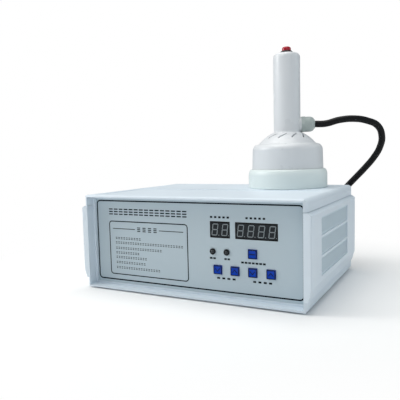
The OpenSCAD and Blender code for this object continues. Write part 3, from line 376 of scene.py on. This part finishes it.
# Two turns lie side by side on the table, the third rides in the groove between them
def coil_points():
    half_lane = (COIL_OUTER - COIL_INNER) / 2
    points = []
    for sweep in range(0, COIL_SWEEP + 1, COIL_STEP):
        radius = ease(sweep, TO_INNER, COIL_OUTER, COIL_INNER)
        radius += ease(sweep, TO_GROOVE, 0, half_lane) + ease(sweep, TO_OUTER, 0, half_lane)
        aside = min(abs(radius - COIL_INNER), abs(radius - COIL_OUTER))
        lift = math.sqrt(COIL_NEST - aside * aside)
        angle = math.radians(COIL_START - sweep)
        x = COIL_X + radius * math.cos(angle)
        y = COIL_Y + radius * math.sin(angle)
        points.append((x, y, COIL_LEVEL + ease(sweep, CLIMB, 0, 1) * lift))
    return points


def lay_cable():
    route = [HEAD_OUTLET] + HEAD_ROUTE + coil_points() + TAIL_ROUTE + [REAR_OUTLET]
    data = bpy.data.curves.new("head_cable_run", "CURVE")
    data.dimensions = "3D"
    data.bevel_depth = CABLE_D / 2 * MM
    data.bevel_resolution = CABLE_STEPS
    data.resolution_u = CABLE_STEPS
    data.use_fill_caps = True
    spline = data.splines.new("BEZIER")
    spline.bezier_points.add(len(route) - 1)
    for knot, point in zip(spline.bezier_points, route):
        knot.co = Vector(point) * MM
        knot.handle_left_type = "AUTO"
        knot.handle_right_type = "AUTO"
    data.materials.append(FINISHES["cable_black"])
    cable = bpy.data.objects.new("head_cable_run", data)
    scene.collection.objects.link(cable)
    bpy.context.view_layer.update()
    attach(cable, "machine")
    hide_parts("head_cable", "cable_coil", "cable_tail")


lay_cable()


# Printed and moulded marks: flat outlines facing the front, given a little thickness

FACE_FRONT = (math.pi / 2, 0, 0)
CORNER_STEPS = 5
INK_THICKNESS = 0.05


# A new piece in edit mode, with one small square at the given place
def begin(name, x, y, z):
    if bpy.context.object and bpy.context.object.mode != "OBJECT":
        bpy.ops.object.mode_set(mode="OBJECT")
    bpy.ops.object.select_all(action="DESELECT")
    bpy.ops.mesh.primitive_plane_add(size=MM, location=(x * MM, y * MM, z * MM), rotation=FACE_FRONT)
    piece = bpy.context.object
    piece.name = name
    bpy.ops.object.transform_apply(location=True, rotation=True, scale=True)
    bpy.ops.object.mode_set(mode="EDIT")
    bpy.ops.mesh.select_mode(type="VERT")
    return piece


# One mark of a piece: a rectangle, with round corners, opened to a frame or tilted where asked
def mark(x, y, z, w, h, corner=0.0, stroke=0.0, tilt=0.0, first=False):
    centre = Vector((x, y, z)) * MM
    if not first:
        bpy.ops.mesh.select_all(action="DESELECT")
        bpy.ops.mesh.primitive_plane_add(size=MM, location=centre, rotation=FACE_FRONT)
    bpy.ops.transform.resize(value=(w, 1, h), center_override=centre)
    if corner:
        bpy.ops.mesh.bevel(offset=corner * MM, segments=CORNER_STEPS, affect="VERTICES")
    if stroke:
        bpy.ops.mesh.inset(thickness=stroke * MM, use_even_offset=True)
        bpy.ops.mesh.delete(type="FACE")
    elif tilt:
        bpy.ops.transform.rotate(value=math.radians(tilt), orient_axis="Y", center_override=centre)


def raise_marks(piece, finish, body, thickness):
    bpy.ops.object.mode_set(mode="OBJECT")
    solid = piece.modifiers.new("thickness", "SOLIDIFY")
    solid.thickness = thickness * MM
    solid.offset = 1.0
    bpy.ops.object.modifier_apply(modifier="thickness")
    piece.data.materials.clear()
    piece.data.materials.append(finish)
    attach(piece, body)


def print_marks(name, y, marks, finish, body="machine", thickness=INK_THICKNESS):
    piece = begin(name, marks[0][0], y, marks[0][1])
    for i, (x, z, w, h, *more) in enumerate(marks):
        mark(x, y, z, w, h, *more, first=i == 0)
    raise_marks(piece, finish, body, thickness)


# A rectangular line with round corners, from its sides
def outline(x0, x1, z0, z1, corner, stroke):
    return ((x0 + x1) / 2, (z0 + z1) / 2, x1 - x0, z1 - z0, corner, stroke)


# A row of short plain strokes that fills the width between two ends
def dashes(x0, x1, z, size, gap, height):
    count = max(1, round((x1 - x0 + gap) / (size + gap)))
    step = (x1 - x0 + gap) / count
    first = x0 + (step - gap) / 2
    return [(first + i * step, z, step - gap, height, height * DASH_CORNER) for i in range(count)]


# The same row at several heights
def stacked(x0, x1, heights, size, gap, height):
    return [dash for z in heights for dash in dashes(x0, x1, z, size, gap, height)]


# Print of the film: sides from the middle of the case and heights over the table, in millimetres

FILM_FACE = front_of("panel_overlay")
# Corner radius of a stroke, as a share of its height
DASH_CORNER = 0.2
# The border, the inner frame, and a thin rule on each side of the heading rows
FILM_LINES = [
    outline(-137.7, 138.7, 9.8, 113.5, corner=5.4, stroke=1.7),
    outline(-118.6, -2.2, 17.2, 87.0, corner=4.4, stroke=1.3),
    (-95.7, 77.0, 34.5, 0.9),
    (-25.6, 77.0, 34.5, 0.9),
]
TITLE_ROWS = stacked(-118, -3.3, (95.6, 98.8, 102.0), size=6.0, gap=1.8, height=1.5)
HEADING_ROWS = stacked(-75, -46, (74.8, 77.0, 79.2), size=4.6, gap=3.4, height=1.2)
# Small rows: where they start, half the distance of their two lines, and the height and end of each
ROW_START = -108.8
ROW_HALF = 0.9
ROW_ENDS = [
    (64.7, -70.3), (58.9, -9.4), (52.0, -39.8), (46.0, -73.3), (40.1, -62.1), (33.4, -64.2), (26.7, -42.8),
]
SMALL_ROWS = [
    dash
    for z, end in ROW_ENDS
    for dash in stacked(ROW_START, end, (z - ROW_HALF, z + ROW_HALF), size=2.4, gap=1.4, height=0.8)
]
# Caption rows: both ends, the height over the table, and the length, gap and height of their strokes
CAPTION_SPANS = [
    (27.7, 51.9, 96.9, 3.4, 2.2, 2.3),
    (71.9, 95.2, 97.1, 3.4, 2.2, 2.3),
    (26.5, 34.3, 48.9, 3.2, 0.9, 2.2),
    (45.0, 52.1, 48.9, 3.2, 0.9, 2.2),
    (65.8, 95.2, 46.6, 3.2, 0.9, 2.2),
    (35.3, 58.7, 26.1, 3.2, 2.6, 2.2),
    (80.0, 102.3, 25.7, 3.2, 2.6, 2.2),
]
CAPTION_ROWS = [dash for caption in CAPTION_SPANS for dash in dashes(*caption)]

print_marks("panel_border_print", FILM_FACE, FILM_LINES, INK)
print_marks("panel_row_print", FILM_FACE, TITLE_ROWS + HEADING_ROWS + SMALL_ROWS, INK)
print_marks("panel_caption_print", FILM_FACE, CAPTION_ROWS, INK)


# Black rims round the two displays

RIM_CORNER = 0.6
RIM_W = 1.3
RIM_THICKNESS = 0.2


def display_rim(name):
    low, high = corners(name)
    return outline(low[0], high[0], low[2], high[2], RIM_CORNER, RIM_W)


print_marks("display_rims", front_of("display_two_digit"),
            [display_rim("display_two_digit"), display_rim("display_four_digit")],
            RIM_BLACK, thickness=RIM_THICKNESS)


# Keys: a soft-edged pad with a navy rim on each cap, and its sign

KEY_FACE = front_of("key_reset")
KEY_SIGNS = {
    "reset": "bar",
    "time_down": "down",
    "time_up": "up",
    "power_down": "down",
    "power_up": "up",
}
PAD_SIDE = 10.4
PAD_CORNER = 1.3
PAD_LIFT = 0.1
# Width and rise of each step from the edge of the pad inwards: rounded edge, rim, step to the blue field
PAD_STEPS = ((0.3, 0.3), (0.7, 0.0), (0.15, -0.08))
PAD_WELD = 0.001
PAD_SMOOTH = 35
SIGN_FACE = KEY_FACE - PAD_LIFT - sum(rise for width, rise in PAD_STEPS)
SIGN_THICKNESS = 0.04
BAR_W = 6.6
BAR_H = 1.1
ARM_W = 4.8
ARM_H = 1.0
ARM_SHIFT = 1.45
ARM_LEAN = 50


def key_pad(body, x, z):
    piece = begin(body + "_pad", x, KEY_FACE, z)
    mark(x, KEY_FACE, z, PAD_SIDE, PAD_SIDE, PAD_CORNER, first=True)
    piece.data.materials.append(NAVY)
    piece.data.materials.append(FINISHES["key_blue"])
    bpy.ops.mesh.extrude_region_move(TRANSFORM_OT_translate={"value": (0, -PAD_LIFT * MM, 0)})
    for width, rise in PAD_STEPS:
        bpy.ops.mesh.inset(thickness=width * MM, depth=rise * MM)
    piece.active_material_index = 1
    bpy.ops.object.material_slot_assign()
    bpy.ops.mesh.select_all(action="SELECT")
    bpy.ops.mesh.remove_doubles(threshold=PAD_WELD * MM)
    bpy.ops.object.mode_set(mode="OBJECT")
    bpy.ops.object.shade_smooth_by_angle(angle=math.radians(PAD_SMOOTH))
    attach(piece, body)


def key_sign(body, x, z, sign):
    if sign == "bar":
        marks = [(x, z, BAR_W, BAR_H)]
    else:
        lean = ARM_LEAN if sign == "up" else -ARM_LEAN
        marks = [(x - ARM_SHIFT, z, ARM_W, ARM_H, 0, 0, lean), (x + ARM_SHIFT, z, ARM_W, ARM_H, 0, 0, -lean)]
    print_marks(body + "_sign", SIGN_FACE, marks, NAVY, body=body, thickness=SIGN_THICKNESS)


for key, sign in KEY_SIGNS.items():
    key_x, key_z = middle_of("key_" + key)
    key_pad(key + "_key", key_x, key_z)
    key_sign(key + "_key", key_x, key_z, sign)


# Rocker: a ring and a bar on the two sloping faces of the paddle, facing the rear

ROCKER_X = middle_of("rocker_paddle")[0]
# Depth, height and slope in degrees of the two faces at the middle of their marks
RING_PLACE = (109.64, 85.12, -3.2)
BAR_PLACE = (110.69, 77.62, 19.2)


def rocker_mark(name, place, w, h, corner, stroke):
    y, z, slope = place
    centre = Vector((ROCKER_X, y, z)) * MM
    piece = begin(name, ROCKER_X, y, z)
    mark(ROCKER_X, y, z, w, h, corner, stroke, first=True)
    bpy.ops.mesh.select_all(action="SELECT")
    bpy.ops.transform.rotate(value=math.pi, orient_axis="Z", center_override=centre)
    bpy.ops.transform.rotate(value=-math.radians(slope), orient_axis="X", center_override=centre)
    raise_marks(piece, MARK_WHITE, "rocker", INK_THICKNESS)


rocker_mark("rocker_ring_mark", RING_PLACE, w=3.8, h=3.8, corner=1.85, stroke=0.6)
rocker_mark("rocker_bar_mark", BAR_PLACE, w=0.7, h=3.6, corner=0.1, stroke=0.0)


# Studio, in metres: a room that is white to the camera, broad soft lamps, and a floor that fades into white

WHITE = (1, 1, 1, 1)
# Light that the room gives the object; the camera sees plain white
ROOM_LIGHT = (0.25, 0.272, 0.287, 1)
LAMP_TARGET = (0.0, 0.0, 0.12)
# Name, place, side, power in watts and tint of each lamp
LAMPS = [
    ("top_softbox", (-0.2, -0.1, 1.9), 1.6, 27.0, (1.0, 0.98, 0.95)),
    ("left_softbox", (-1.5, -0.65, 0.9), 0.7, 12.5, (1.0, 0.99, 0.97)),
    ("front_right_softbox", (0.8, -1.0, 0.5), 0.5, 0.9, (0.94, 1.0, 1.05)),
    ("right_softbox", (1.3, 0.4, 0.6), 0.8, 1.75, (0.84, 1.0, 1.08)),
]
FLOOR_R = 12.0
FLOOR_SIDES = 64
FLOOR_LEVEL = -0.0002
FLOOR_PAPER = (0.93, 0.93, 0.93, 1)
FADE_START = 0.22
FADE_END = 0.42


def light_room():
    world = bpy.data.worlds.new("white_room")
    scene.world = world
    world.use_nodes = True
    tree = world.node_tree
    tree.nodes.clear()
    ray = add(tree, "ShaderNodeLightPath")
    tone = add(tree, "ShaderNodeMix", {
        "Factor": ray.outputs["Is Camera Ray"], MIX_A: ROOM_LIGHT, MIX_B: WHITE,
    }, data_type="RGBA")
    glow = add(tree, "ShaderNodeBackground", {"Color": tone.outputs[MIX_OUT], "Strength": 1.0})
    add(tree, "ShaderNodeOutputWorld", {"Surface": glow.outputs[0]})


def hang_lamp(name, place, side, power, tint):
    lamp = bpy.data.lights.new(name, "AREA")
    lamp.size = side
    lamp.energy = power
    lamp.color = tint
    holder = bpy.data.objects.new(name, lamp)
    holder.location = place
    holder.rotation_euler = (Vector(LAMP_TARGET) - Vector(place)).to_track_quat("-Z", "Y").to_euler()
    scene.collection.objects.link(holder)


# Paper that takes the shadow near the object, and turns plain white to the camera further out
def floor_paper():
    finish, tree, place = blank("matt_white_floor")
    reach = add(tree, "ShaderNodeVectorMath", {0: place}, operation="LENGTH")
    fade = add(tree, "ShaderNodeMapRange", {
        "Value": reach.outputs["Value"], "From Min": FADE_START, "From Max": FADE_END,
    }, interpolation_type="SMOOTHSTEP")
    paper = add(tree, "ShaderNodeBsdfDiffuse", {"Color": FLOOR_PAPER})
    white = add(tree, "ShaderNodeEmission", {"Color": WHITE, "Strength": 1.0})
    ray = add(tree, "ShaderNodeLightPath")
    share = add(tree, "ShaderNodeMath", {0: fade.outputs[0], 1: ray.outputs["Is Camera Ray"]},
                operation="MULTIPLY")
    shader = add(tree, "ShaderNodeMixShader", {0: share.outputs[0], 1: paper.outputs[0], 2: white.outputs[0]})
    close(tree, shader)
    return finish


def lay_floor():
    bpy.ops.object.select_all(action="DESELECT")
    bpy.ops.mesh.primitive_circle_add(vertices=FLOOR_SIDES, radius=FLOOR_R, fill_type="NGON",
                                      location=(0, 0, FLOOR_LEVEL))
    floor = bpy.context.object
    floor.name = "studio_floor"
    floor.data.materials.append(floor_paper())


scene.view_settings.view_transform = "Standard"
light_room()
for lamp_settings in LAMPS:
    hang_lamp(*lamp_settings)
lay_floor()
